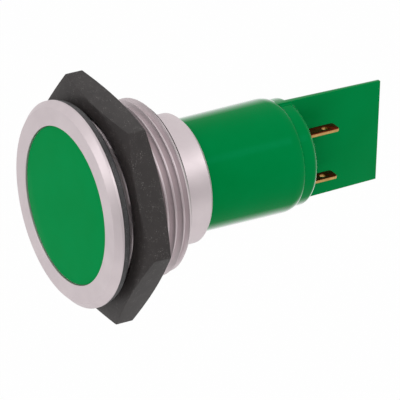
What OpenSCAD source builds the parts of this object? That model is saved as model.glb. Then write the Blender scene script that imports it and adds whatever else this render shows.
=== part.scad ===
// Panel pilot light for a 30 mm panel hole, with a flat lens, a hex nut and two solder tabs.
// The axis runs along Y. The front face looks towards -Y and the origin is where the axis
// crosses the front of the panel, which is also the back of the gasket. Z runs up the barrier.

/* [Bezel and sleeve] */
// Outside diameter of the sleeve's thread
thread_d = 30; // [26:0.5:36]
// Pitch of that thread
thread_pitch = 1.5; // [1:0.25:2]
// Width of the bezel flange past the thread
flange_w = 2.5; // [2:0.1:5]
// Thickness of the bezel flange
bezel_t = 1.5; // [1.3:0.1:2.4]
// Bevel round the front edge of the bezel
bezel_bevel = 1; // [0.2:0.1:1.2]
// How far the plain spigot stands below the thread, on the radius
spigot_drop = 0.2; // [0.18:0.01:0.3]
// How far the gasket's seat stands below the spigot, on the radius
gasket_seat_drop = 0.3; // [0.18:0.01:0.4]
// Wall of the sleeve, from its bore to the thread's crests
sleeve_wall = 2.3; // [2:0.1:2.8]
// Width of the ledge between the window and the bore, which the lens rests on
ledge_w = 0.75; // [0.5:0.05:1]
// Thickness of the sleeve's rear wall
rear_wall_t = 2.15; // [1:0.05:2.4]
// Wall of the plain collar behind the thread
collar_wall = 1.23; // [0.6:0.01:1.6]
// Length of the collar past the end of the thread
collar_l = 6.15; // [4.5:0.05:10]
// Radius of the fillet where the collar meets the sleeve
collar_fillet = 0.6; // [0.2:0.1:1.5]
// Bevel round the collar's rear edge
collar_bevel = 0.55; // [0.1:0.05:0.55]

/* [Gasket] */
// How far the gasket's edge lies inside the flange's edge
gasket_inset = 0.25; // [0:0.05:1]
// Thickness of the gasket
gasket_t = 1.2; // [0.6:0.1:2]
// Rounding on the gasket's outer edges
gasket_round = 0.35; // [0.1:0.05:0.5]

/* [Mounting nut] */
// Wall of the nut, from the thread's crests to the middle of a flat
nut_wall = 3.3; // [2:0.1:5]
// Thickness of the nut
nut_t = 4.7; // [3:0.1:6]
// Free gap between the gasket and the nut, where the panel goes
panel_gap = 1.45; // [1:0.05:3]
// Angle of the chamfer that takes the nut's corners down
nut_chamfer_angle = 15; // [5:1:30]
// Turn of the nut about the axis, from a corner straight up
nut_turn = -26; // [-30:0.1:30]
// Bevel at both mouths of the nut's bore
nut_mouth = 0.6; // [0.2:0.1:1.2]

/* [Lens and diffuser] */
// How far the lens lies below the bezel's face
lens_recess = 0.3; // [0.1:0.05:0.8]
// Thickness of the lens's face
lens_t = 1.8; // [1.2:0.1:2.2]
// Rounding on the lens's front edge
lens_round = 0.25; // [0.1:0.05:0.6]
// Length of the skirt behind the lens's face
skirt_l = 2.9; // [2.2:0.1:3.2]
// Wall of the lens's skirt
skirt_wall = 1.35; // [1.2:0.05:1.6]
// Thickness of the diffuser
diffuser_t = 0.5; // [0.3:0.1:0.8]
// Free length between the diffuser and the tips of the LEDs, which sets the sleeve's length
led_room = 0.9; // [0.6:0.1:8]

/* [Lamp parts] */
// Diameter of one LED's body
led_d = 5; // [4.6:0.1:5.2]
// Length of one LED, from its base to the tip of its dome
led_l = 8.6; // [7.6:0.1:10]
// Diameter of the rim at an LED's base
led_rim_d = 5.8; // [5.5:0.1:6]
// Thickness of the rim at an LED's base
led_rim_t = 1; // [0.6:0.1:1.4]
// Number of LEDs in the ring round the middle one
ring_leds = 6; // [6:1:6]
// Distance between the two legs of an LED
led_pitch = 2.54; // [2:0.02:2.8]
// Width of an LED's square leg
led_leg = 0.5; // [0.4:0.05:0.6]
// Length of an LED's legs behind the LED board
led_leg_out = 1.1; // [0.6:0.1:1.4]
// Least distance from the housing's bore to the middle of a ring LED, which keeps its legs clear
led_inset = 1; // [0.9:0.1:1.6]
// Thickness of the LED board
led_board_t = 1.6; // [1:0.1:2]
// Diameter of the cone's mouth in front of each LED, as far as its neighbours leave room
cup_d = 6.9; // [6:0.1:7]
// Depth of the cone in front of each LED
cup_depth = 2.6; // [1:0.1:3]

/* [Rear housing] */
// Largest diameter of the housing, at its shoulder
housing_d = 19.68; // [18:0.02:21.5]
// Draft of the housing's side, in degrees
housing_draft = 0.53; // [0.2:0.01:1]
// Wall of the housing, measured at its front end
housing_wall = 1.4; // [1.2:0.05:1.5]
// Length of the housing from the collar to the end of its shoulder
housing_l = 18.5; // [17.5:0.1:30]
// Thickness of the seal rings on the lens and the housing
seal_d = 0.9; // [0.7:0.1:1]
// Length of the rounding at the shoulder
shoulder_l = 2; // [0.5:0.1:4]
// Drop of the shoulder, on the radius
shoulder_drop = 0.6; // [0.3:0.05:1.2]
// Straight length between the shoulder and the domed end
neck_l = 1.7; // [0.5:0.1:4]
// Height of the domed end
dome_l = 2.8; // [1:0.1:4]
// Thickness of the end wall, at its middle
end_wall_t = 4; // [3.5:0.1:5]

/* [Barrier] */
// Length of the barrier past the domed end
barrier_l = 15.4; // [6:0.1:25]
// How far the barrier's edge lies inside the housing's largest radius, at the neck
barrier_inset = 0.23; // [0.05:0.01:2]
// Draft on each long edge of the barrier, in degrees
barrier_draft = 0.97; // [0.3:0.01:2]
// Thickness of the barrier at its root
barrier_t = 1; // [0.8:0.1:2]
// Draft on each face of the barrier, in degrees
barrier_face_draft = 0.4; // [0.1:0.05:0.6]

/* [Solder tabs] */
// Distance between the two tabs
tab_pitch = 8.9; // [7.5:0.1:9.5]
// Width of a tab
tab_w = 2.4; // [1.8:0.1:3]
// Thickness of a tab
tab_t = 0.5; // [0.4:0.05:0.8]
// Distance from the axis plane to the near edge of a tab
tab_offset = 2.2; // [1.6:0.1:3]
// Length of a tab past the domed end
tab_l = 5; // [4:0.1:8]
// Diameter of the wire hole in a tab
tab_hole_d = 1; // [0.6:0.1:1.4]
// Distance from the tab's end to the middle of its hole
tab_hole_back = 2.3; // [1.5:0.1:3]
// Rounding on the corners of a tab
tab_round = 0.6; // [0.2:0.1:0.8]
// Width of the pin that a tab puts through the board
tab_pin_w = 1.4; // [1:0.1:1.8]
// Distance from the rear edge of the driver board to that pin
tab_pin_back = 1.2; // [0.8:0.1:2]

/* [Driver board] */
// Thickness of the driver board
driver_t = 1.2; // [0.8:0.1:1.6]
// Depth of the slots in the housing's wall that the driver board slides into
driver_slot = 0.35; // [0.2:0.05:0.5]
// Gap between the two boards, for the LED legs
board_gap = 1.8; // [1.5:0.1:3]
// Distance from the front edge of the driver board to its first parts
part_start = 2; // [1.8:0.1:2.5]
// Gap between parts that lie one behind the other
part_gap = 1; // [0.5:0.1:1.5]
// Length of the rectifier
rectifier_l = 8.3; // [6:0.1:8.5]
// Width of the rectifier
rectifier_w = 6.4; // [4:0.1:7]
// Height of the rectifier's case
rectifier_h = 3.2; // [2:0.1:4]
// Diameter of a resistor's body
resistor_d = 2.4; // [1.6:0.1:3]
// Length of a resistor's body
resistor_l = 6.3; // [4:0.1:6.5]
// Distance between the two resistors
resistor_pitch = 5.4; // [4:0.1:7]
// Diameter of a component's wire
wire_d = 0.6; // [0.4:0.05:0.8]
// Diameter of the capacitor
capacitor_d = 6.3; // [4:0.1:6.5]
// Length of the capacitor
capacitor_l = 10; // [6:0.1:10.5]
// Diameter of the surge disc
surge_d = 6; // [4:0.1:6.4]
// Thickness of the surge disc
surge_t = 3; // [2:0.1:4]
// Thickness of the potting behind the driver board
potting_t = 2; // [1:0.1:3]

/* [Clearances] */
// Radial gap between the nut and the sleeve's thread
nut_gap = 0.15; // [0.1:0.01:0.3]
// Radial gap between the lens and the window
lens_gap = 0.15; // [0.05:0.01:0.2]
// Radial gap between the inner parts and the bore they slide into
bore_gap = 0.15; // [0.05:0.01:0.2]
// Radial gap between the housing and the inside of the collar
collar_gap = 0.15; // [0.05:0.01:0.2]
// Gap round a leg, a pin or a board in its hole or slot
slot_gap = 0.1; // [0.05:0.01:0.15]
// Gap left between stacked parts
stack_gap = 0.1; // [0.05:0.01:0.2]
// Gap round a seal ring in its groove
seal_gap = 0.03; // [0.01:0.01:0.05]

/* [Hidden] */
$fn = 96;
curve_steps = 12;
over = 1;

// Stations along the axis, from the front to the rear
seat_y = -gasket_t;
face_y = seat_y - bezel_t;
lens_y = face_y + lens_recess;
ledge_y = lens_y + lens_t;
skirt_end_y = ledge_y + skirt_l;
holder_y = skirt_end_y + stack_gap;
led_base_y = ledge_y + diffuser_t + led_room + led_l;
step_y = led_base_y + led_board_t;
thread_end_y = step_y + rear_wall_t;
collar_end_y = thread_end_y + collar_l;
shoulder_y = collar_end_y + housing_l;
round_y = shoulder_y - shoulder_l;
neck_y = shoulder_y + neck_l;
dome_y = neck_y + dome_l;
end_wall_y = dome_y - end_wall_t;
potting_y = end_wall_y - potting_t;
driver_y = step_y + board_gap;
driver_end_y = potting_y - stack_gap;
barrier_end_y = dome_y + barrier_l;
tab_end_y = dome_y + tab_l;
nut_y = panel_gap;

// Radii and widths that follow from the walls and fits
thread_depth = 0.6134 * thread_pitch; // standard depth of a 60 degree thread
thread_crest = thread_pitch / 8; // width of its crests
bezel_r = thread_d / 2 + flange_w;
bore_r = thread_d / 2 - sleeve_wall;
window_r = bore_r + ledge_w;
gasket_r = bezel_r - gasket_inset;
spigot_r = thread_d / 2 - spigot_drop;
gasket_seat_r = spigot_r - gasket_seat_drop;
housing_slope = tan(housing_draft);
housing_front_r = housing_d / 2 - (round_y - step_y) * housing_slope;
housing_bore_r = housing_front_r - housing_wall;
collar_bore_r = housing_d / 2 - (round_y - collar_end_y) * housing_slope + collar_gap;
collar_r = collar_bore_r + collar_wall;
neck_r = housing_d / 2 - shoulder_drop;
driver_r = housing_bore_r + driver_slot - slot_gap;
skirt_r = bore_r - bore_gap;
skirt_bore_r = skirt_r - skirt_wall;
led_ring_r = min(housing_bore_r - led_inset, skirt_bore_r - bore_gap - led_d / 2);
seal_room = seal_d + 2 * seal_gap;
face_x = driver_t / 2;
tab_x = [tab_offset, tab_offset + tab_w];
tab_pin_y = driver_end_y - tab_pin_back - tab_pin_w;
part_y = driver_y + part_start;
resistor_y = part_y + rectifier_l + part_gap;
led_spots = concat([[0, 0]], [for (i = [0 : ring_leds - 1]) [led_ring_r, 360 * i / ring_leds]]);

// Stands a solid that was drawn along Z on the axis, its base at y
module along(y = 0) {
    translate([0, y, 0])
        rotate([-90, 0, 0])
            children();
}

// Turns an outline of [radius, y] points round the axis
module turned(points) {
    along()
        rotate_extrude()
            polygon(points);
}

// A round bar along the axis
module bar(r, y0, y1) {
    along(y0)
        cylinder(r = r, h = y1 - y0);
}

// A block between two corners
module block(low, high) {
    translate(low)
        cube(high - low);
}

// A quarter of an ellipse, from [r0 + dr, y0] to [r0, y0 + dy], bulging outwards
function quarter(r0, y0, dr, dy, from = 0, to = 90) =
    [for (i = [0 : curve_steps])
        let (a = from + (to - from) * i / curve_steps)
            [r0 + dr * cos(a), y0 + dy * sin(a)]];

// Ring groove between two crests of the thread, starting at y on the crests
module thread_groove(y) {
    width = thread_pitch - thread_crest;
    flank = tan(30);
    root_r = thread_d / 2 - thread_depth;
    turned([
        [thread_d / 2 + over, y - over * flank],
        [root_r, y + thread_depth * flank],
        [root_r, y + width - thread_depth * flank],
        [thread_d / 2 + over, y + width + over * flank]
    ]);
}

// Turned in one piece: bezel flange, gasket seat, spigot, thread and plain collar. The turns
// of the thread are plain rings, so that every face stays a true cone or cylinder.
module bezel_sleeve() {
    lip = 0.1;
    thread_lead = 0.8;
    first_groove = nut_y + spigot_drop + thread_crest;
    last_groove = thread_end_y - thread_lead - thread_pitch;
    color([0.83, 0.79, 0.79])
        difference() {
            turned(concat(
                [
                    [window_r, ledge_y],
                    [window_r, face_y + lip],
                    [window_r + lip, face_y],
                    [bezel_r - bezel_bevel, face_y],
                    [bezel_r, face_y + bezel_bevel],
                    [bezel_r, seat_y - lip],
                    [bezel_r - lip, seat_y],
                    [gasket_seat_r, seat_y],
                    [gasket_seat_r, 0],
                    [spigot_r, 0],
                    [spigot_r, nut_y],
                    [thread_d / 2, nut_y + spigot_drop],
                    [thread_d / 2, thread_end_y - thread_lead],
                    [thread_d / 2 - thread_lead, thread_end_y]
                ],
                [for (i = [0 : curve_steps])
                    let (a = 90 * i / curve_steps)
                        [
                            collar_r + collar_fillet * (1 - sin(a)),
                            thread_end_y + collar_fillet * (1 - cos(a))
                        ]],
                [
                    [collar_r, collar_end_y - collar_bevel],
                    [collar_r - collar_bevel, collar_end_y],
                    [collar_bore_r, collar_end_y],
                    [collar_bore_r, step_y],
                    [bore_r, step_y],
                    [bore_r, ledge_y]
                ]
            ));
            for (y = [first_groove : thread_pitch : last_groove])
                thread_groove(y);
        }
}

// Flat rubber ring that lies in its seat behind the flange
module gasket() {
    r = gasket_r - gasket_round;
    color([0.2, 0.2, 0.21])
        turned(concat(
            [[gasket_seat_r + seal_gap, seat_y]],
            [for (p = quarter(r, seat_y + gasket_round, gasket_round, gasket_round, -90, 0)) p],
            [for (p = quarter(r, -gasket_round, gasket_round, gasket_round, 0, 90)) p],
            [[gasket_seat_r + seal_gap, 0]]
        ));
}

// Hex nut with both faces chamfered round, so that only the middle of each flat keeps its height
module mounting_nut() {
    flat_r = thread_d / 2 + nut_wall;
    corner_r = flat_r / cos(30);
    fall = (corner_r + over - flat_r) * tan(nut_chamfer_angle);
    hole_r = thread_d / 2 + nut_gap;
    color([0.16, 0.15, 0.15])
        difference() {
            intersection() {
                along(nut_y)
                    rotate([0, 0, nut_turn - 90])
                        cylinder(r = corner_r, h = nut_t, $fn = 6);
                turned([
                    [0, nut_y],
                    [flat_r, nut_y],
                    [corner_r + over, nut_y + fall],
                    [corner_r + over, nut_y + nut_t - fall],
                    [flat_r, nut_y + nut_t],
                    [0, nut_y + nut_t]
                ]);
            }
            turned([
                [0, nut_y - over],
                [hole_r + nut_mouth + over, nut_y - over],
                [hole_r, nut_y + nut_mouth],
                [hole_r, nut_y + nut_t - nut_mouth],
                [hole_r + nut_mouth + over, nut_y + nut_t + over],
                [0, nut_y + nut_t + over]
            ]);
        }
}

// Flat lens with a skirt that goes down the bore, grooved for its seal
module lens() {
    r = window_r - lens_gap;
    groove_r = bore_r - seal_room;
    groove_y = ledge_y + skirt_l / 2;
    color([0, 0.53, 0.27])
        turned(concat(
            [[0, lens_y]],
            [for (p = quarter(r - lens_round, lens_y + lens_round, lens_round, lens_round, -90, 0)) p],
            [
                [r, ledge_y],
                [skirt_r, ledge_y],
                [skirt_r, groove_y - seal_room / 2],
                [groove_r, groove_y - seal_room / 2],
                [groove_r, groove_y + seal_room / 2],
                [skirt_r, groove_y + seal_room / 2],
                [skirt_r, skirt_end_y],
                [skirt_bore_r, skirt_end_y],
                [skirt_bore_r, ledge_y],
                [0, ledge_y]
            ]
        ));
}

// A seal ring whose round section lies between its groove and the bore
module seal_ring(outer_r, y) {
    color([0.1, 0.1, 0.1])
        along(y)
            rotate_extrude()
                translate([outer_r - seal_room / 2, 0])
                    circle(d = seal_d, $fn = 32);
}

module lens_seal() {
    seal_ring(bore_r, ledge_y + skirt_l / 2);
}

// Thin frosted disc that lies against the back of the lens
module diffuser() {
    color([0.92, 0.94, 0.9])
        bar(skirt_bore_r - bore_gap, ledge_y, ledge_y + diffuser_t);
}

// Puts its children at each LED's place
module at_led(i) {
    rotate([0, led_spots[i][1], 0])
        translate([0, 0, led_spots[i][0]])
            children();
}

// White block with a stepped hole and a cone for each LED
module led_holder() {
    hole_r = led_d / 2 + slot_gap;
    rim_r = led_rim_d / 2 + slot_gap;
    cup_r = min(cup_d, led_ring_r - stack_gap) / 2;
    rim_y = led_base_y - led_rim_t - slot_gap;
    color([0.93, 0.93, 0.91])
        difference() {
            bar(skirt_r, holder_y, led_base_y);
            for (i = [0 : ring_leds])
                at_led(i) {
                    turned([
                        [0, holder_y - over],
                        [cup_r, holder_y - over],
                        [cup_r, holder_y],
                        [hole_r, holder_y + cup_depth],
                        [hole_r, rim_y],
                        [rim_r, rim_y],
                        [rim_r, led_base_y + over],
                        [0, led_base_y + over]
                    ]);
                }
        }
}

// One LED: dome, rim and two legs that go through the board
module led(i) {
    r = led_d / 2;
    tip_y = led_base_y - led_l;
    color([0.75, 0.95, 0.78])
        at_led(i)
            union() {
                turned(concat(
                    [for (p = quarter(0, tip_y + r, r, r, -90, 0)) p],
                    [
                        [r, led_base_y - led_rim_t],
                        [led_rim_d / 2, led_base_y - led_rim_t],
                        [led_rim_d / 2, led_base_y],
                        [0, led_base_y]
                    ]
                ));
                for (side = [-1, 1])
                    translate([side * led_pitch / 2, 0, 0])
                        block(
                            [-led_leg / 2, led_base_y - led_rim_t / 2, -led_leg / 2],
                            [led_leg / 2, step_y + led_leg_out, led_leg / 2]
                        );
            }
}

// Round board that rests on the step inside the sleeve
module led_board() {
    hole_r = led_leg * sqrt(2) / 2 + slot_gap / 2;
    color([0.9, 0.9, 0.86])
        difference() {
            bar(skirt_r, led_base_y, step_y);
            for (i = [0 : ring_leds])
                at_led(i)
                    for (side = [-1, 1])
                        translate([side * led_pitch / 2, 0, 0])
                            bar(hole_r, led_base_y - over, step_y + over);
            for (side = [-1, 1])
                link_place(side)
                    bar(wire_d / 2 + slot_gap / 2, led_base_y - over, step_y + over);
        }
}

// Puts its children where a link pin runs
module link_place(side) {
    link_pitch = 6.6;
    translate([face_x + wire_d / 2, 0, side * link_pitch / 2])
        children();
}

// Straight pin that joins the two boards and lies on the driver board's face
module link_pin(side) {
    lap = 1.6;
    color([0.78, 0.76, 0.72])
        link_place(side)
            bar(wire_d / 2, led_base_y, driver_y + lap);
}

// Board along the axis, held by its two long edges
module driver_board() {
    slot_z = tab_t / 2 + slot_gap;
    color([0.1, 0.35, 0.2])
        difference() {
            block([-face_x, driver_y, -driver_r], [face_x, driver_end_y, driver_r]);
            for (side = [-1, 1])
                translate([0, 0, side * tab_pitch / 2])
                    block(
                        [-face_x - over, tab_pin_y - slot_gap, -slot_z],
                        [face_x + over, tab_pin_y + tab_pin_w + slot_gap, slot_z]
                    );
        }
}

// Bridge rectifier with four flat legs that lie on the board
module rectifier() {
    leg_w = 0.9;
    leg_t = 0.3;
    leg_out = 1;
    edge = 0.4;
    z = rectifier_w / 2;
    color([0.09, 0.09, 0.1])
        union() {
            translate([face_x, part_y, 0])
                linear_extrude(rectifier_w, center = true)
                    polygon([
                        [0, 0],
                        [rectifier_h - edge, 0],
                        [rectifier_h, edge],
                        [rectifier_h, rectifier_l - edge],
                        [rectifier_h - edge, rectifier_l],
                        [0, rectifier_l]
                    ]);
            for (side = [-1, 1])
                for (y = [part_y + rectifier_l * 0.2, part_y + rectifier_l * 0.8])
                    block(
                        [face_x, y - leg_w / 2, side > 0 ? z - leg_t : -z - leg_out],
                        [face_x + leg_t, y + leg_w / 2, side > 0 ? z + leg_out : leg_t - z]
                    );
        }
}

// Flat disc that soaks up surges, standing on two wires
module surge_disc() {
    stand = 0.3;
    centre_x = -face_x - stand - surge_d / 2;
    centre_y = part_y + surge_d / 2;
    color([0.1, 0.25, 0.55])
        union() {
            translate([centre_x, centre_y, 0])
                cylinder(d = surge_d, h = surge_t, center = true);
            for (side = [-1, 1])
                translate([centre_x, centre_y + side * surge_d / 4, 0])
                    rotate([0, 90, 0])
                        cylinder(d = wire_d, h = -face_x - centre_x);
        }
}

// Electrolytic capacitor that lies along the board
module capacitor() {
    x = -face_x - capacitor_d / 2;
    y = part_y + surge_d + part_gap;
    bead = 0.25;
    bead_y = 1.4;
    r = capacitor_d / 2;
    color([0.15, 0.16, 0.2])
        translate([x, y, 0])
            union() {
                turned([
                    [0, 0],
                    [r - bead, 0],
                    [r, bead],
                    [r, bead_y - bead],
                    [r - bead, bead_y],
                    [r, bead_y + bead],
                    [r, capacitor_l - bead],
                    [r - bead, capacitor_l],
                    [0, capacitor_l]
                ]);
            }
}

// Resistor with its two wires bent down to the board
module resistor(side) {
    rise = face_x + 0.2 + resistor_d / 2;
    reach = 0.7;
    end = 0.4;
    r = resistor_d / 2;
    color([0.35, 0.55, 0.7])
        translate([rise, resistor_y + reach, side * resistor_pitch / 2])
            union() {
                turned([
                    [0, 0],
                    [r - end, 0],
                    [r, end],
                    [r, resistor_l - end],
                    [r - end, resistor_l],
                    [0, resistor_l]
                ]);
                bar(wire_d / 2, -reach, resistor_l + reach);
                for (y = [-reach + wire_d / 2, resistor_l + reach - wire_d / 2])
                    translate([face_x - rise, y, 0])
                        rotate([0, 90, 0])
                            cylinder(d = wire_d, h = rise - face_x);
            }
}

// Stamped tab: wire hole at its free end and a pin through the driver board at the other
module terminal(side) {
    pin_out = 1;
    color([0.55, 0.2, 0.1])
        translate([0, 0, side * tab_pitch / 2])
            linear_extrude(tab_t, center = true)
                difference() {
                    union() {
                        translate([tab_x[0], tab_pin_y])
                            square([tab_w, tab_end_y - tab_round - tab_pin_y]);
                        translate([tab_x[0] + tab_round, tab_pin_y])
                            square([tab_w - 2 * tab_round, tab_end_y - tab_pin_y]);
                        for (x = [tab_x[0] + tab_round, tab_x[1] - tab_round])
                            translate([x, tab_end_y - tab_round])
                                circle(r = tab_round, $fn = 48);
                        translate([-face_x - pin_out, tab_pin_y])
                            square([tab_x[0] + face_x + pin_out + over / 2, tab_pin_w]);
                    }
                    translate([tab_x[0] + tab_w / 2, tab_end_y - tab_hole_back])
                        circle(d = tab_hole_d, $fn = 48);
                }
}

// Clear way for both tabs through a solid, from one station to another
module tab_ways(y0, y1, gap) {
    for (side = [-1, 1])
        block(
            [tab_x[0] - gap, y0, side * tab_pitch / 2 - tab_t / 2 - gap],
            [tab_x[1] + gap, y1, side * tab_pitch / 2 + tab_t / 2 + gap]
        );
}

// Resin that seals the rear of the housing round both tabs
module potting_plug() {
    color([0.12, 0.13, 0.12])
        difference() {
            bar(housing_bore_r - seal_gap, potting_y, end_wall_y);
            tab_ways(potting_y - over, end_wall_y + over, seal_gap);
        }
}

// Outside of the housing as a turned outline: drafted side, rounded shoulder, neck and dome
function housing_outline() = concat(
    [
        [0, step_y],
        [housing_front_r, step_y]
    ],
    quarter(neck_r, round_y, shoulder_drop, shoulder_l),
    quarter(0, neck_y, neck_r, dome_l)
);

// Flat barrier whose long edges and faces narrow towards its free end
module barrier() {
    long = barrier_end_y - round_y;
    half_w = housing_d / 2 - barrier_inset + (neck_y - round_y) * tan(barrier_draft);
    end_w = half_w - long * tan(barrier_draft);
    half_t = barrier_t / 2;
    end_t = half_t - long * tan(barrier_face_draft);
    intersection() {
        linear_extrude(2 * half_w, center = true)
            polygon([
                [-half_t, round_y],
                [half_t, round_y],
                [end_t, barrier_end_y],
                [-end_t, barrier_end_y]
            ]);
        rotate([0, -90, 0])
            linear_extrude(2 * half_t, center = true)
                polygon([
                    [-half_w, round_y],
                    [half_w, round_y],
                    [end_w, barrier_end_y],
                    [-end_w, barrier_end_y]
                ]);
    }
}

// Moulded housing: tube, shoulder, domed end and barrier in one piece
module rear_housing() {
    groove_y = (step_y + collar_end_y) / 2;
    groove_r = collar_bore_r - seal_room;
    slot_x = face_x + slot_gap;
    slot_r = housing_bore_r + driver_slot;
    color([0, 0.5, 0.25])
        difference() {
            union() {
                turned(housing_outline());
                barrier();
            }
            bar(housing_bore_r, step_y - over, end_wall_y);
            block([-slot_x, step_y - over, -slot_r], [slot_x, driver_end_y + slot_gap, slot_r]);
            turned([
                [groove_r, groove_y - seal_room / 2],
                [housing_d, groove_y - seal_room / 2],
                [housing_d, groove_y + seal_room / 2],
                [groove_r, groove_y + seal_room / 2]
            ]);
            tab_ways(end_wall_y - over, dome_y + over, slot_gap);
        }
}

module housing_seal() {
    seal_ring(collar_bore_r, (step_y + collar_end_y) / 2);
}

bezel_sleeve();
gasket();
mounting_nut();
lens();
lens_seal();
diffuser();
led_holder();
led(1);  // led_1
led(2);  // led_2
led(3);  // led_3
led(4);  // led_4
led(5);  // led_5
led(6);  // led_6
led(0);  // led_7
led_board();
link_pin(-1);  // link_pin_1
link_pin(1);  // link_pin_2
driver_board();
rectifier();
surge_disc();
capacitor();
resistor(-1);  // resistor_1
resistor(1);  // resistor_2
terminal(-1);  // terminal_1
terminal(1);  // terminal_2
potting_plug();
rear_housing();
housing_seal();
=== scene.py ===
import math

import bmesh
import bpy
from mathutils import Matrix, Vector


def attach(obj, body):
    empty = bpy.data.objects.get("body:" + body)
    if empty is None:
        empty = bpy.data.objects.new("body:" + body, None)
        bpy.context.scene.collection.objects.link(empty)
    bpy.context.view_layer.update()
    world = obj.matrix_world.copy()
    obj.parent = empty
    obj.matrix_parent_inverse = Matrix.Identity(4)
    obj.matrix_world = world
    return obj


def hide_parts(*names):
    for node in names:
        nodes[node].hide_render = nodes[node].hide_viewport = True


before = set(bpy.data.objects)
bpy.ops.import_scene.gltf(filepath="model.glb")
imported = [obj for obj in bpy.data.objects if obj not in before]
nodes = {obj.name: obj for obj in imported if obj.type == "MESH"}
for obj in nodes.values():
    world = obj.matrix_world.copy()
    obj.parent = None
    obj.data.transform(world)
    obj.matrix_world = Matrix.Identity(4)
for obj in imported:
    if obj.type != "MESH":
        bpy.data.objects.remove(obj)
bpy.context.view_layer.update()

mm = 0.001
print("frame loaded,", len(nodes), "solids")


# a socket as a value, so that shader maths reads as plain expressions
class Wire:
    def __init__(self, paint, socket):
        self.paint, self.socket = paint, socket

    def maths(self, operation, first, second=0.0):
        return self.paint.add("ShaderNodeMath", {"operation": operation}, {0: first, 1: second})

    def __add__(self, other):
        return self.maths("ADD", self, other)

    def __radd__(self, other):
        return self.maths("ADD", other, self)

    def __mul__(self, other):
        return self.maths("MULTIPLY", self, other)

    def __rmul__(self, other):
        return self.maths("MULTIPLY", other, self)

    def root(self):
        return self.maths("SQRT", self)

    def most(self, other):
        return self.maths("MAXIMUM", self, other)

    def between(self, low, high):  # 0 at low, 1 at high, held outside
        sockets = {"Value": self, "From Min": low, "From Max": high}
        return self.paint.add("ShaderNodeMapRange", {"clamp": True}, sockets)


# one material or world under construction
class Paint:
    def __init__(self, name, owner=None):
        self.owner = owner or bpy.data.materials.new(name)
        self.owner.use_nodes = True
        self.tree = self.owner.node_tree
        self.tree.nodes.clear()

    def add(self, kind, settings=None, sockets=None, out=0):
        node = self.tree.nodes.new(kind)
        for key, value in (settings or {}).items():
            setattr(node, key, value)
        for key, value in (sockets or {}).items():
            self.plug(node.inputs[key], value)
        return Wire(self, node.outputs[out]) if node.outputs else None

    def plug(self, socket, value):
        if isinstance(value, Wire):
            self.tree.links.new(value.socket, socket)
        elif isinstance(value, (tuple, list)) and len(value) == 3 and len(socket.default_value) == 4:
            socket.default_value = (*value, 1.0)
        else:
            socket.default_value = value

    def mix(self, factor, first, second):
        settings = {"data_type": "RGBA", "blend_type": "MIX", "clamp_factor": True}
        return self.add("ShaderNodeMix", settings, {0: factor, 6: first, 7: second}, out=2)

    def places(self):
        return self.add("ShaderNodeTexCoord", out="Object")

    def axes(self):  # x, y and z of the point, in metres
        node = self.add("ShaderNodeSeparateXYZ", sockets={0: self.places()}).socket.node
        return [Wire(self, socket) for socket in node.outputs]

    def noise(self, size, detail, stretch=(1, 1, 1)):  # size of a feature, in metres
        spot = self.add("ShaderNodeVectorMath", {"operation": "MULTIPLY"}, {0: self.places(), 1: stretch})
        sockets = {"Vector": spot, "Scale": 1 / size, "Detail": detail, "Roughness": 0.55}
        return self.add("ShaderNodeTexNoise", None, sockets)

    def rings(self, size):  # turning marks: change along the outline, not round the axis
        x, y, z = self.axes()
        along = (x * x + z * z).root() + y
        sockets = {"W": along * (1 / size), "Scale": 1.0, "Detail": 2.0}
        return self.add("ShaderNodeTexNoise", {"noise_dimensions": "1D"}, sockets)

    def bump(self, height, depth):
        return self.add("ShaderNodeBump", None, {"Strength": 1.0, "Distance": depth, "Height": height})

    def shine(self, roughness, normal, low, high):  # share of a bright skin near grazing, and the skin
        sockets = {"Base Color": (1, 1, 1), "Metallic": 1.0, "Roughness": roughness, "Normal": normal}
        skin = self.add("ShaderNodeBsdfPrincipled", None, sockets)
        return self.add("ShaderNodeFresnel", None, {"IOR": 1.5}).between(low, high), skin

    def surface(self, shine=None, **sockets):
        node = self.add("ShaderNodeBsdfPrincipled")
        for key, value in sockets.items():
            self.plug(node.socket.node.inputs[key.replace("_", " ")], value)
        if shine:
            node = self.add("ShaderNodeMixShader", None, {0: shine[0], 1: node, 2: shine[1]})
        self.add("ShaderNodeOutputMaterial", None, {"Surface": node})
        return self.owner


# camera, fixed first: the lamp lies level and is seen from its front right, well above
view = {
    "azimuth": 58.84, "elevation": 27.88, "roll": 1.85, "distance": 0.9, "lens": 494.1,
    "aim": (0, -2.7 * mm, 0), "slide": (22.21 * mm, 0.99 * mm),
}


def addCamera():
    a, e, r = (math.radians(view[key]) for key in ("azimuth", "elevation", "roll"))
    ahead = Vector((-math.sin(a) * math.cos(e), math.cos(a) * math.cos(e), -math.sin(e)))
    level = ahead.cross(Vector((0, 0, 1))).normalized()
    rise = level.cross(ahead)
    right = level * math.cos(r) + rise * math.sin(r)
    up = rise * math.cos(r) - level * math.sin(r)
    data = bpy.data.cameras.new("camera")
    data.lens, data.sensor_width, data.clip_start, data.clip_end = view["lens"], 36, 0.01, 20
    camera = bpy.data.objects.new("camera", data)
    bpy.context.scene.collection.objects.link(camera)
    spot = Vector(view["aim"]) - ahead * view["distance"] + right * view["slide"][0] + up * view["slide"][1]
    camera.matrix_world = Matrix.Translation(spot) @ Matrix((right, up, -ahead)).transposed().to_4x4()
    bpy.context.scene.camera = camera


addCamera()
print("camera placed")


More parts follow.
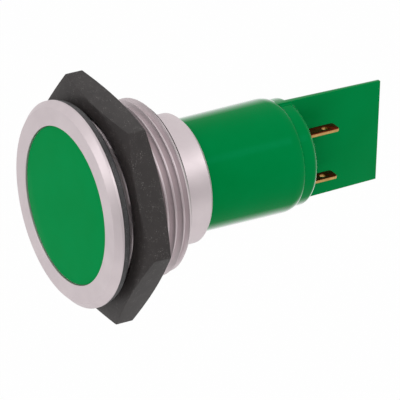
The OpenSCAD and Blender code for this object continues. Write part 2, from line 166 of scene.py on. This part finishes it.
# mesh helpers: an outline is a list of (radius, y, rounding), in millimetres
def rounded(corners, steps=4, closed=True):  # an outline with each corner turned into a small arc
    points = []
    count = len(corners)
    for i, (r, y, bend) in enumerate(corners):
        spot = Vector((r, y))
        if bend == 0 or (not closed and i in (0, count - 1)):
            points.append(tuple(spot))
            continue
        before = Vector(corners[i - 1][:2]) - spot
        after = Vector(corners[(i + 1) % count][:2]) - spot
        turn = before.angle(after)
        reach = min(bend / math.tan(turn / 2), before.length * 0.49, after.length * 0.49)
        start, end = spot + before.normalized() * reach, spot + after.normalized() * reach
        for step in range(steps + 1):  # a quadratic bend is close enough to an arc at this size
            t = step / steps
            points.append(tuple(start * (1 - t) ** 2 + spot * 2 * t * (1 - t) + end * t * t))
    return points


def polar(radius, y, angle):  # angle runs from straight up towards the tabs
    return Vector((radius * math.sin(angle), y, radius * math.cos(angle))) * mm


def quarter(steps):  # angles of a quarter turn, both ends included
    return [math.pi / 2 * i / steps for i in range(steps + 1)]


def addRing(mesh, points, angles):  # one row of vertices per outline point
    rows = []
    for radius, y in points:
        if radius < 1e-6:
            rows.append([mesh.verts.new(polar(0, y, 0))] * len(angles))
        else:
            rows.append([mesh.verts.new(polar(radius, y, angle)) for angle in angles])
    return rows


def bridge(mesh, first, second):
    count = len(first)
    for j in range(count):
        k = (j + 1) % count
        corners = []
        for vertex in (first[j], first[k], second[k], second[j]):
            if vertex not in corners:
                corners.append(vertex)
        if len(corners) > 2:
            mesh.faces.new(corners)


def turned(mesh, points, segments, closed=True):
    angles = [2 * math.pi * j / segments for j in range(segments)]
    rows = addRing(mesh, points, angles)
    for i in range(len(rows) - 1):
        bridge(mesh, rows[i], rows[i + 1])
    if closed:
        bridge(mesh, rows[-1], rows[0])
    return rows


def makePiece(name, mesh, finish, sharp=35):  # closes the mesh work and gives the object
    bmesh.ops.remove_doubles(mesh, verts=mesh.verts, dist=1e-8)
    bmesh.ops.recalc_face_normals(mesh, faces=mesh.faces)
    data = bpy.data.meshes.new(name)
    mesh.to_mesh(data)
    mesh.free()
    data.polygons.foreach_set("use_smooth", [True] * len(data.polygons))
    data.set_sharp_from_angle(angle=math.radians(sharp))
    piece = bpy.data.objects.new(name, data)
    bpy.context.scene.collection.objects.link(piece)
    for material in finish if isinstance(finish, list) else [finish]:
        data.materials.append(material)
    return piece


def place(piece, body, node):
    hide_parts(node)
    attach(piece, body)


# screw thread: rows of vertices follow the helix, so its edges stay crisp
def threadRows(pitch, crest, depth, bend):  # [offset along the axis, share of the full depth]
    flank = depth * math.tan(math.radians(30))
    corners = [
        (-crest / 2, 0, bend), (crest / 2, 0, bend), (crest / 2 + flank, depth, bend),
        (pitch - crest / 2 - flank, depth, bend), (pitch - crest / 2, 0, 0)]
    rows = rounded(corners, steps=3, closed=False)[1:-1]
    fine = []
    for (y0, d0), (y1, d1) in zip(rows, rows[1:] + [(rows[0][0] + pitch, rows[0][1])]):
        parts = 4 if abs(d1 - d0) > depth / 3 else 1
        fine += [(y0 + (y1 - y0) * i / parts, (d0 + (d1 - d0) * i / parts) / depth) for i in range(parts)]
    return fine


def threadBand(mesh, angles, rows, pitch, phase, start, end, radiusAt):
    turns = int((end - start) / pitch) + 4
    columns = []
    for angle in angles:
        column = []
        for turn in range(-3, turns):
            for offset, cut in rows:
                y = start + phase + (turn + angle / (2 * math.pi)) * pitch + offset
                y = min(max(y, start), end)
                column.append(mesh.verts.new(polar(radiusAt(y, cut), y, angle)))
        columns.append(column)
    last = len(columns[0]) - 1
    for j, column in enumerate(columns):
        follow = columns[(j + 1) % len(columns)]
        shift = len(rows) if j == len(columns) - 1 else 0  # the seam joins each turn to the next
        for i in range(last):
            low, high = min(i + shift, last), min(i + 1 + shift, last)
            if low != high:
                mesh.faces.new((column[i], follow[low], follow[high], column[i + 1]))
            else:
                mesh.faces.new((column[i], follow[low], column[i + 1]))
    return [column[0] for column in columns], [column[-1] for column in columns]


# bezel and sleeve, turned in one piece
sleeve = {
    "bezelR": 17.5, "bevel": 1.0, "windowR": 13.45, "boreR": 12.7, "seatR": 14.5, "spigotR": 14.8,
    "threadR": 15.0, "threadStart": 1.45, "threadEnd": 13.15,
    "face": -2.7, "seat": -1.2, "ledge": -0.6, "step": 11.0,
    "collarR": 11.07, "collarBevel": 0.55, "collarBoreR": 9.84, "collarEnd": 19.3, "fillet": 0.6, "lip": 0.12,
    "pitch": 1.5, "crest": 0.19, "depth": 0.92, "bend": 0.1, "phase": 0.32, "lead": 0.8, "segments": 200,
    "runIn": (0.3, 1.6),  # where the groove starts past the spigot, and how long it takes to reach full depth
}


def makeSleeve(finish):
    s = sleeve
    mesh = bmesh.new()
    angles = [2 * math.pi * j / s["segments"] for j in range(s["segments"])]
    rootR = s["threadR"] - s["depth"]

    def radiusAt(y, cut):
        fade = min(max((y - s["threadStart"] - s["runIn"][0]) / s["runIn"][1], 0), 1)
        lead = min(s["spigotR"] + max(y - s["threadStart"], 0), s["threadR"])
        tail = s["threadR"] - s["lead"] + max(s["threadEnd"] - y, 0)
        return min(s["threadR"] - s["depth"] * cut * fade, lead, tail)

    rows = threadRows(s["pitch"], s["crest"], s["depth"], s["bend"])
    start, end = s["threadStart"], s["threadEnd"]
    first, last = threadBand(mesh, angles, rows, s["pitch"], s["phase"], start, end, radiusAt)
    outline = rounded([
        (rootR, end, 0), (s["collarR"], end, s["fillet"]),
        (s["collarR"], s["collarEnd"] - s["collarBevel"], 0.1),
        (s["collarR"] - s["collarBevel"], s["collarEnd"], 0.1),
        (s["collarBoreR"], s["collarEnd"], 0.08), (s["collarBoreR"], s["step"], 0),
        (s["boreR"], s["step"], 0), (s["boreR"], s["ledge"], 0),
        (s["windowR"], s["ledge"], 0), (s["windowR"], s["face"], s["lip"]),
        (s["bezelR"] - s["bevel"], s["face"], 0.1), (s["bezelR"], s["face"] + s["bevel"], 0.1),
        (s["bezelR"], s["seat"], s["lip"]), (s["seatR"], s["seat"], 0), (s["seatR"], 0, 0.03),
        (s["spigotR"], 0, 0.05), (s["spigotR"], start, 0)], steps=5, closed=False)
    around = addRing(mesh, outline[1:-1], angles)
    chain = [last] + around + [first]
    for one, two in zip(chain, chain[1:]):
        bridge(mesh, one, two)
    return makePiece("bezelSleeve", mesh, finish, sharp=32)


# hex nut: chamfered round on both faces, with its thread cut outwards from the bore
nut = {
    "flatR": 18.3, "boreR": 15.12, "front": 1.45, "thick": 4.7, "mouth": 0.6, "chamfer": 15.0, "turn": -26.0,
    "corner": 0.3, "edge": 0.14, "flatSteps": 26, "cornerSteps": 6,
    "pitch": 1.5, "crest": 0.25, "depth": 0.56, "bend": 0.08, "phase": 0.4,
}


def nutRim():  # (angle, radius) round a hexagon with slightly rounded corners
    rim = []
    reach = (nut["flatR"] - nut["corner"]) / math.cos(math.radians(30))
    for k in range(6):
        arcs = []
        for turn in (k, k + 1):
            middle = math.radians(nut["turn"] + 60 * turn)
            centre = Vector((math.sin(middle), math.cos(middle))) * reach
            steps = nut["cornerSteps"]
            sweep = [middle + math.radians(-30 + 60 * i / steps) for i in range(steps + 1)]
            arcs.append([centre + Vector((math.sin(a), math.cos(a))) * nut["corner"] for a in sweep])
        start, end = arcs[0][-1], arcs[1][0]
        rim += arcs[0] + [start.lerp(end, i / nut["flatSteps"]) for i in range(1, nut["flatSteps"])]
    return sorted((math.atan2(p.x, p.y) % (2 * math.pi), p.length) for p in rim)


def makeNut(finish):
    n = nut
    mesh = bmesh.new()
    rim = nutRim()
    angles = [angle for angle, radius in rim]
    front, back = n["front"], n["front"] + n["thick"]
    slope = math.tan(math.radians(n["chamfer"]))

    def fall(r):
        return max(0, r - n["flatR"]) * slope

    def radiusAt(y, cut):
        mouth = n["boreR"] + n["mouth"] - min(y - front, back - y)
        return max(n["boreR"] + n["depth"] * cut, mouth)

    rows = threadRows(n["pitch"], n["crest"], n["depth"], n["bend"])
    first, last = threadBand(mesh, angles, rows, n["pitch"], n["phase"], front, back, radiusAt)
    bands = []
    e, lip = n["edge"], n["boreR"] + n["mouth"]
    for angle, h in rim:  # h is the distance from the axis to the rim
        inner = min(n["flatR"], h - e - 0.01)
        shape = [(lip + (inner - lip) * t, 0) for t in (0.04, 0.5, 1)]
        shape.append(((inner + h - e) / 2, fall((inner + h - e) / 2)))
        shape += [(h - e + e * math.sin(t), fall(h) + e - e * math.cos(t)) for t in quarter(4)]
        half = [mesh.verts.new(polar(r, front + d, angle)) for r, d in shape]
        rest = [mesh.verts.new(polar(r, back - d, angle)) for r, d in reversed(shape)]
        bands.append(half + rest)
    count = len(bands)
    for j in range(count):
        k = (j + 1) % count
        a, b = bands[j], bands[k]
        mesh.faces.new((first[j], first[k], b[0], a[0]))
        mesh.faces.new((last[k], last[j], a[-1], b[-1]))
        for i in range(len(a) - 1):
            mesh.faces.new((a[i], b[i], b[i + 1], a[i + 1]))
    return makePiece("mountingNut", mesh, finish, sharp=24)


# gasket and lens
gasket = {"innerR": 14.53, "outerR": 17.25, "front": -1.2, "back": 0.0, "bend": 0.35, "segments": 200}
lens = {
    "faceR": 13.42, "front": -2.4, "back": -0.6, "bend": 0.22, "segments": 200,
    "skirtR": 12.55, "innerR": 11.2, "skirtEnd": 2.3, "grooveR": 11.74, "groove": (0.37, 1.33),
}


def makeGasket(finish):
    g = gasket
    mesh = bmesh.new()
    outline = rounded([
        (g["innerR"], g["front"], 0.05), (g["outerR"], g["front"], g["bend"]),
        (g["outerR"], g["back"], g["bend"]), (g["innerR"], g["back"], 0.05)], steps=7)
    turned(mesh, outline, g["segments"])
    return makePiece("gasketRing", mesh, finish)


def makeLens(finish):
    g = lens
    mesh = bmesh.new()
    grooveStart, grooveEnd = g["groove"]
    corners = [
        (0, g["front"], 0), (g["faceR"] * 0.5, g["front"], 0), (g["faceR"], g["front"], g["bend"]),
        (g["faceR"], g["back"], 0.05), (g["skirtR"], g["back"], 0),
        (g["skirtR"], grooveStart, 0), (g["grooveR"], grooveStart, 0),
        (g["grooveR"], grooveEnd, 0), (g["skirtR"], grooveEnd, 0),
        (g["skirtR"], g["skirtEnd"], 0.1), (g["innerR"], g["skirtEnd"], 0.1),
        (g["innerR"], g["back"], 0), (0, g["back"], 0)]
    turned(mesh, rounded(corners, steps=6, closed=False), g["segments"], closed=False)
    return makePiece("flatLens", mesh, finish)


# rear housing: turned tube, shoulder, neck and dome, with the barrier and its root fillets moulded on
housing = {
    "front": 11.0, "frontR": 9.611, "sideR": 9.84, "roundY": 35.8, "shoulderY": 37.8,
    "neckR": 9.24, "neckY": 39.5, "domeY": 42.3, "segments": 256,
    "boreR": 8.21, "boreEnd": 38.3, "boreSegments": 96, "grooveR": 8.83, "groove": (14.66, 15.64), "over": 1,
    "slotX": 0.7, "slotR": 8.56, "slotEnd": 36.3, "tabX": (2.1, 4.7), "tabZ": (4.1, 4.8),
    "barrierEnd": 57.7, "barrierHalfW": (9.673, 9.302), "barrierHalfT": (0.5, 0.347), "edge": 0.1,
    "root": 0.3, "rootSink": 0.12, "rootStart": 0.05,
}


def housingOutline(steps=40):  # (radius, y) from the front edge to the tip of the dome
    h = housing
    drop, length, rise = h["sideR"] - h["neckR"], h["shoulderY"] - h["roundY"], h["domeY"] - h["neckY"]
    shoulder = [(h["neckR"] + drop * math.cos(t), h["roundY"] + length * math.sin(t)) for t in quarter(14)]
    neck = [(h["neckR"], h["neckY"] * 0.5 + h["shoulderY"] * 0.5)]
    dome = [(h["neckR"] * math.cos(t), h["neckY"] + rise * math.sin(t)) for t in quarter(steps)]
    return [(h["frontR"], h["front"])] + shoulder + neck + dome[:-1] + [(0, h["domeY"])]


def boxMesh(low, high):
    mesh = bmesh.new()
    bmesh.ops.create_cube(mesh, size=1)
    for vertex in mesh.verts:
        vertex.co = Vector([a * mm if c < 0 else b * mm for c, a, b in zip(vertex.co, low, high)])
    return mesh


def joined(name, mesh, cutters):  # exact union or difference of closed solids
    base = makePiece(name, mesh, [])
    tools = []
    for operation, tool in cutters:
        other = makePiece(name + "Tool", tool, [])
        modifier = base.modifiers.new(operation, "BOOLEAN")
        modifier.operation, modifier.solver, modifier.object = operation, "EXACT", other
        tools.append(other)
    result = bpy.data.meshes.new_from_object(base.evaluated_get(bpy.context.evaluated_depsgraph_get()))
    for other in tools + [base]:
        bpy.data.objects.remove(other)
    mesh = bmesh.new()
    mesh.from_mesh(result)
    return mesh


def barrierMesh():
    h = housing
    mesh = bmesh.new()
    rows = []
    for share in (0, 1):
        y = (h["roundY"], h["barrierEnd"])[share]
        w, t = h["barrierHalfW"][share], h["barrierHalfT"][share]
        rows.append([mesh.verts.new(Vector((x, y, z)) * mm) for x, z in ((-t, -w), (t, -w), (t, w), (-t, w))])
    for j in range(4):
        k = (j + 1) % 4
        mesh.faces.new((rows[0][j], rows[0][k], rows[1][k], rows[1][j]))
    mesh.faces.new(rows[0])
    mesh.faces.new(rows[1])
    bmesh.ops.recalc_face_normals(mesh, faces=mesh.faces)
    free = [edge for edge in mesh.edges if max(v.co.y for v in edge.verts) > h["barrierEnd"] * mm * 0.99]
    bmesh.ops.bevel(mesh, geom=free, offset=h["edge"] * mm, segments=3, profile=0.5, affect="EDGES")
    return mesh


def rootFillet(side):  # a hollow-faced strip in the corner between the barrier and the neck and dome
    h = housing
    mesh = bmesh.new()
    begin = h["shoulderY"] + h["rootStart"]
    outline = [(h["neckR"], begin)] + [(r, y) for r, y in housingOutline(28) if y > begin + h["rootStart"]]
    half = []
    for r, y in outline:
        share = (y - h["roundY"]) / (h["barrierEnd"] - h["roundY"])
        x = h["barrierHalfT"][0] + (h["barrierHalfT"][1] - h["barrierHalfT"][0]) * share
        if r > x + h["rootStart"]:
            half.append(Vector((x * side, y, math.sqrt(r * r - x * x))))
    path = half + [Vector((p.x, p.y, -p.z)) for p in reversed(half)]
    across, e = Vector((side, 0, 0)), h["root"]
    rings = []
    for i, corner in enumerate(path):
        along = path[min(i + 1, len(path) - 1)] - path[max(i - 1, 0)]
        out = Vector((0, -along.z, along.y)).normalized()  # square to the neck or dome
        centre = corner + (across + out) * e
        sweep = [math.radians(-6 + 17 * step) for step in range(7)]  # a little past the quarter at both ends
        arc = [centre - across * e * math.sin(t) - out * e * math.cos(t) for t in sweep]
        heel = corner - (across + out) * h["rootSink"]
        rings.append([mesh.verts.new(p * mm) for p in [heel] + arc])
    for one, two in zip(rings, rings[1:]):
        bridge(mesh, one, two)
    mesh.faces.new(rings[0])
    mesh.faces.new(rings[-1])
    bmesh.ops.recalc_face_normals(mesh, faces=mesh.faces)
    return mesh


def makeHousing(finish):
    h = housing
    outer = bmesh.new()
    turned(outer, [(0, h["front"])] + housingOutline(), h["segments"], closed=False)
    bore = bmesh.new()
    mouth, stop = h["front"] - h["over"], h["boreEnd"]
    boreEdge = [(0, mouth), (h["boreR"], mouth), (h["boreR"], stop), (0, stop)]
    turned(bore, boreEdge, h["boreSegments"], closed=False)
    groove = bmesh.new()
    start, end = h["groove"]
    outside = 12  # clear of the housing's side
    grooveEdge = [(h["grooveR"], start), (outside, start), (outside, end), (h["grooveR"], end)]
    turned(groove, grooveEdge, h["boreSegments"])
    (tabLow, tabHigh), (zLow, zHigh) = h["tabX"], h["tabZ"]
    cutters = [("UNION", barrierMesh()), ("UNION", rootFillet(1)), ("UNION", rootFillet(-1))]
    cutters += [("DIFFERENCE", bore), ("DIFFERENCE", groove)]
    slot = boxMesh((-h["slotX"], mouth, -h["slotR"]), (h["slotX"], h["slotEnd"], h["slotR"]))
    cutters.append(("DIFFERENCE", slot))
    for low, high in ((zLow, zHigh), (-zHigh, -zLow)):
        way = boxMesh((tabLow, stop - h["over"], low), (tabHigh, h["domeY"] + h["over"], high))
        cutters.append(("DIFFERENCE", way))
    return makePiece("rearHousing", joined("housingCore", outer, cutters), finish, sharp=30)


# solder tabs: stamped, so the flats and the sheared edges are different
tab = {
    "left": 2.2, "width": 2.4, "thick": 0.5, "start": 33.6, "end": 47.3, "corner": 0.6, "z": 4.45, "burr": 0.05,
    "pinEnd": 35.0, "pinX": -1.6, "holeR": 0.5, "holeY": 45.0, "holeSteps": 40,
}


def makeTab(name, side, flat, edge):
    t = tab
    right = t["left"] + t["width"]
    corners = [
        (t["pinX"], t["start"], 0), (right, t["start"], 0), (right, t["end"], t["corner"]),
        (t["left"], t["end"], t["corner"]), (t["left"], t["pinEnd"], 0), (t["pinX"], t["pinEnd"], 0)]
    outline = rounded(corners, steps=8)
    holeX, r, steps = t["left"] + t["width"] / 2, t["holeR"], t["holeSteps"]
    turns = [2 * math.pi * i / steps for i in range(steps)]
    hole = [(holeX + r * math.cos(a), t["holeY"] + r * math.sin(a)) for a in turns]
    curve = bpy.data.curves.new(name, "CURVE")
    curve.dimensions, curve.fill_mode = "2D", "BOTH"
    curve.extrude = (t["thick"] / 2 - t["burr"]) * mm
    curve.bevel_depth, curve.offset = t["burr"] * mm, -t["burr"] * mm
    curve.bevel_resolution = 1
    for points in (outline, hole):
        spline = curve.splines.new("POLY")
        spline.points.add(len(points) - 1)
        spline.use_cyclic_u = True
        for point, (x, y) in zip(spline.points, points):
            point.co = (x * mm, y * mm, 0, 1)
    shape = bpy.data.objects.new(name, curve)
    bpy.context.scene.collection.objects.link(shape)
    data = bpy.data.meshes.new_from_object(shape.evaluated_get(bpy.context.evaluated_depsgraph_get()))
    bpy.data.objects.remove(shape)
    mesh = bmesh.new()
    mesh.from_mesh(data)
    for vertex in mesh.verts:
        vertex.co.z += side * t["z"] * mm
    mesh.normal_update()
    for face in mesh.faces:
        face.material_index = 0 if abs(face.normal.z) > 0.9 else 1
    return makePiece(name, mesh, [flat, edge], sharp=25)


# finishes
satin = {
    "colour": (0.66, 0.585, 0.60), "shade": (0.57, 0.50, 0.52), "roughness": 0.40,
    "marks": 0.07 * mm, "depth": 0.0016 * mm,
}
moulding = {
    "colour": (0.0, 0.206, 0.048), "shade": (0.0, 0.192, 0.042), "roughness": 0.16, "gloss": 1.10,
    "tint": (0.0, 1.0, 0.8), "peel": 1.4 * mm, "depth": 0.006 * mm, "shine": (0.13, 0.68),
}
lensGreen = {
    "colour": (0.0, 0.252, 0.060), "shade": (0.0, 0.240, 0.054), "roughness": 0.42, "gloss": 1.05,
    "shine": (0.13, 0.68),
}
nylon = {
    "colour": (0.021, 0.017, 0.0165), "gloss": 1.42, "fleck": (0.30, 0.28, 0.27), "flecks": 0.66,
    "roughness": 0.5, "grain": 0.16 * mm, "depth": 0.012 * mm,
}
rubber = {
    "colour": (0.030, 0.029, 0.030), "gloss": 1.45, "fleck": (0.26, 0.26, 0.27), "flecks": 0.62,
    "roughness": 0.44, "grain": 0.12 * mm, "depth": 0.014 * mm,
}
copper = {"colour": (0.235, 0.0155, 0.0045), "shade": (0.17, 0.010, 0.003), "roughness": 0.3}
brass = {"colour": (0.60, 0.37, 0.14), "shade": (0.42, 0.23, 0.075), "roughness": 0.34}


def satinMetal():
    p, f = Paint("satinMetal"), satin
    marks, cloud = p.rings(f["marks"]), p.noise(5 * mm, 2)
    stain = p.noise(0.5 * mm, 4).between(0.66, 0.8)
    colour = p.mix(cloud.between(0.3, 0.7) * 0.5 + marks * 0.25 + stain * 0.25, f["colour"], f["shade"])
    height = marks * 0.8 + p.noise(0.09 * mm, 2) * 0.4
    rough = marks * 0.06 + cloud * 0.08 + f["roughness"]
    return p.surface(Base_Color=colour, Metallic=1.0, Roughness=rough, Normal=p.bump(height, f["depth"]))


def greenMoulding():
    p, f = Paint("greenMoulding"), moulding
    cloud, peel = p.noise(7 * mm, 2), p.noise(f["peel"], 2)
    dust = p.noise(0.25 * mm, 3).between(0.62, 0.85)
    colour = p.mix(cloud.between(0.3, 0.7), f["colour"], f["shade"])
    height = peel + p.noise(0.12 * mm, 2) * 0.08
    rough, normal = dust * 0.12 + cloud * 0.05 + f["roughness"], p.bump(height, f["depth"])
    sockets = {"Base_Color": colour, "Roughness": rough, "IOR": f["gloss"], "Specular_Tint": f["tint"]}
    return p.surface(p.shine(rough, normal, *f["shine"]), Normal=normal, **sockets)


def greenLens():
    p, f = Paint("greenLens"), lensGreen
    cloud = p.noise(6 * mm, 2)
    scuff = p.noise(0.3 * mm, 4, stretch=(1, 1, 0.3)).between(0.6, 0.8)
    colour = p.mix(cloud.between(0.3, 0.7), f["colour"], f["shade"])
    rough, normal = scuff * 0.1 + f["roughness"], p.bump(p.noise(0.2 * mm, 3), 0.002 * mm)
    sockets = {"Base_Color": colour, "Roughness": rough, "IOR": f["gloss"]}
    return p.surface(p.shine(rough, normal, *f["shine"]), Normal=normal, **sockets)


def flecked(name, f):  # dark filled plastic or rubber with pale specks
    p = Paint(name)
    grain = p.noise(f["grain"], 2)
    fine = p.noise(f["grain"] * 0.8, 1).between(f["flecks"], f["flecks"] + 0.07)
    speck = fine * p.noise(f["grain"] * 9, 1).between(0.4, 0.65)
    cloud = p.noise(3 * mm, 3)
    dusty = p.mix(cloud.between(0.35, 0.75) * 0.5, f["colour"], tuple(c * 1.7 for c in f["colour"]))
    colour = p.mix(speck, dusty, f["fleck"])
    rough, normal = grain * 0.16 + f["roughness"], p.bump(grain + cloud * 0.5, f["depth"])
    return p.surface(Base_Color=colour, Roughness=rough, IOR=f["gloss"], Normal=normal)


def plated(name, f):  # thin bright metal, a little uneven
    p = Paint(name)
    cloud, drawn = p.noise(0.7 * mm, 3), p.noise(0.1 * mm, 2, stretch=(1, 0.12, 1))
    colour = p.mix(cloud.between(0.3, 0.75) * 0.7 + drawn * 0.3, f["colour"], f["shade"])
    rough, normal = cloud * 0.15 + f["roughness"], p.bump(drawn, 0.003 * mm)
    return p.surface(Base_Color=colour, Metallic=1.0, Roughness=rough, Normal=normal)


# finishes of the sealed inner parts: colour, second colour, roughness, metallic, size of the grain in mm
innerFinishes = {
    "lens_seal": ((0.012, 0.012, 0.012), (0.03, 0.03, 0.03), 0.5, 0, 0.2),
    "housing_seal": ((0.012, 0.012, 0.012), (0.03, 0.03, 0.03), 0.5, 0, 0.2),
    "diffuser": ((0.80, 0.83, 0.78), (0.72, 0.76, 0.70), 0.6, 0, 0.6),
    "led_holder": ((0.85, 0.85, 0.82), (0.74, 0.74, 0.70), 0.4, 0, 0.9),
    "led_board": ((0.80, 0.80, 0.76), (0.66, 0.66, 0.60), 0.35, 0, 0.4),
    "driver_board": ((0.020, 0.11, 0.04), (0.012, 0.06, 0.022), 0.3, 0, 0.5),
    "rectifier": ((0.018, 0.018, 0.02), (0.035, 0.035, 0.038), 0.45, 0, 0.25),
    "surge_disc": ((0.02, 0.06, 0.25), (0.015, 0.04, 0.17), 0.2, 0, 1.2),
    "capacitor": ((0.025, 0.025, 0.04), (0.05, 0.05, 0.075), 0.25, 0, 1.5),
    "resistor_1": ((0.16, 0.32, 0.46), (0.11, 0.24, 0.36), 0.4, 0, 0.5),
    "resistor_2": ((0.16, 0.32, 0.46), (0.11, 0.24, 0.36), 0.4, 0, 0.5),
    "link_pin_1": ((0.6, 0.58, 0.54), (0.45, 0.43, 0.4), 0.3, 1, 0.2),
    "link_pin_2": ((0.6, 0.58, 0.54), (0.45, 0.43, 0.4), 0.3, 1, 0.2),
    "potting_plug": ((0.018, 0.02, 0.018), (0.04, 0.042, 0.04), 0.3, 0, 1.0),
}
for number in range(1, 8):
    innerFinishes["led_" + str(number)] = ((0.5, 0.82, 0.56), (0.42, 0.72, 0.48), 0.1, 0, 1.0)


def finishInner():
    made = {}
    for name, look in innerFinishes.items():
        if look not in made:
            colour, second, roughness, metallic, grain = look
            p = Paint(name + "Finish")
            cloud = p.noise(grain * mm, 3)
            tone = p.mix(cloud.between(0.35, 0.7), colour, second)
            rough, normal = cloud * 0.12 + roughness, p.bump(cloud, 0.006 * mm)
            made[look] = p.surface(Base_Color=tone, Metallic=metallic, Roughness=rough, Normal=normal)
        solid = nodes[name]
        solid.data.materials.clear()
        solid.data.materials.append(made[look])


finishInner()
print("inner parts finished")

bezelSleeve = makeSleeve(satinMetal())
place(bezelSleeve, "root", "bezel_sleeve")
gasketRing = makeGasket(flecked("gasketRubber", rubber))
place(gasketRing, "root", "gasket")
mountingNut = makeNut(flecked("blackNylon", nylon))
place(mountingNut, "nut", "mounting_nut")
flatLens = makeLens(greenLens())
place(flatLens, "root", "lens")
print("bezel, gasket, nut and lens made")

rearHousing = makeHousing(greenMoulding())
place(rearHousing, "root", "rear_housing")
tabFlat, tabEdge = plated("tabFlat", copper), plated("tabEdge", brass)
for name, node, side in (("lowerTab", "terminal_1", -1), ("upperTab", "terminal_2", 1)):
    place(makeTab(name, side, tabFlat, tabEdge), "root", node)
print("housing and tabs made")


# floor, surroundings and lamps
studio = {
    "floorZ": -0.085, "floorSize": 6.0, "floorColour": (0.86, 0.86, 0.86), "floorShow": 0.95, "ambient": 0.95,
    "middle": (0, 20 * mm, 0),  # what the lamps point at
    "lamps": [  # name, direction from the lamp's middle, distance, size, power
        ("overhead", (0.57, 0.46, 0.68), 0.60, 0.13, 0.30),
        ("front", (0.08, -0.84, 0.53), 0.60, 0.20, 0.30),
    ],
    "flag": {  # dark card that only gloss shows
        "shade": 0.32, "from": -65, "to": 35, "low": -0.16, "high": 0.13, "distance": 0.5, "steps": 24,
    },
}


def seenDirectly(p):  # 1 for what the camera, a gloss or a clear part sees
    path = p.add("ShaderNodeLightPath").socket.node.outputs
    names = ("Is Camera Ray", "Is Glossy Ray", "Is Transmission Ray")
    camera, glossy, clear = (Wire(p, path[name]) for name in names)
    return camera.most(glossy).most(clear)


def addSurroundings():
    world = bpy.data.worlds.new("surroundings")
    bpy.context.scene.world = world
    p = Paint("surroundings", world)
    strength = seenDirectly(p) * (1 - studio["ambient"]) + studio["ambient"]
    light = p.add("ShaderNodeBackground", None, {"Color": (1.0, 1.0, 1.0), "Strength": strength})
    p.add("ShaderNodeOutputWorld", None, {"Surface": light})


def addFloor():
    half = studio["floorSize"] / 2
    mesh = bmesh.new()
    bmesh.ops.create_grid(mesh, x_segments=8, y_segments=8, size=half)
    p = Paint("paleFloor")
    tone = p.mix(p.noise(0.05, 2), studio["floorColour"], tuple(c * 0.98 for c in studio["floorColour"]))
    matt = p.add("ShaderNodeBsdfDiffuse", None, {"Color": tone})
    bright = p.add("ShaderNodeEmission", None, {"Color": (1.0, 1.0, 1.0), "Strength": 1.0})
    both = p.add("ShaderNodeMixShader", None, {0: seenDirectly(p) * studio["floorShow"], 1: matt, 2: bright})
    p.add("ShaderNodeOutputMaterial", None, {"Surface": both})
    floor = makePiece("floor", mesh, p.owner)
    floor.location.z = studio["floorZ"]


def addLamps():
    middle = Vector(studio["middle"])
    for name, direction, distance, size, power in studio["lamps"]:
        data = bpy.data.lights.new(name, "AREA")
        data.shape, data.size, data.energy = "DISK", size, power
        lamp = bpy.data.objects.new(name, data)
        bpy.context.scene.collection.objects.link(lamp)
        spot = Vector(direction).normalized()
        lamp.location = middle + spot * distance
        lamp.rotation_euler = spot.to_track_quat("Z", "Y").to_euler()


def addFlag():
    f = studio["flag"]
    mesh = bmesh.new()
    rows = []
    for step in range(f["steps"] + 1):
        turn = math.radians(f["from"] + (f["to"] - f["from"]) * step / f["steps"])
        x, y = math.cos(turn) * f["distance"], math.sin(turn) * f["distance"]
        rows.append([mesh.verts.new((x, y, z)) for z in (f["low"], f["high"])])
    for one, two in zip(rows, rows[1:]):
        mesh.faces.new((one[0], two[0], two[1], one[1]))
    p = Paint("flagCloth")
    glow = p.add("ShaderNodeEmission", None, {"Color": (1.0, 1.0, 1.0), "Strength": f["shade"]})
    p.add("ShaderNodeOutputMaterial", None, {"Surface": glow})
    flag = makePiece("flag", mesh, p.owner)
    flag.visible_camera = flag.visible_diffuse = flag.visible_transmission = flag.visible_shadow = False


addSurroundings()
addFloor()
addLamps()
addFlag()
bpy.context.scene.view_settings.view_transform = "Standard"
print("studio set")
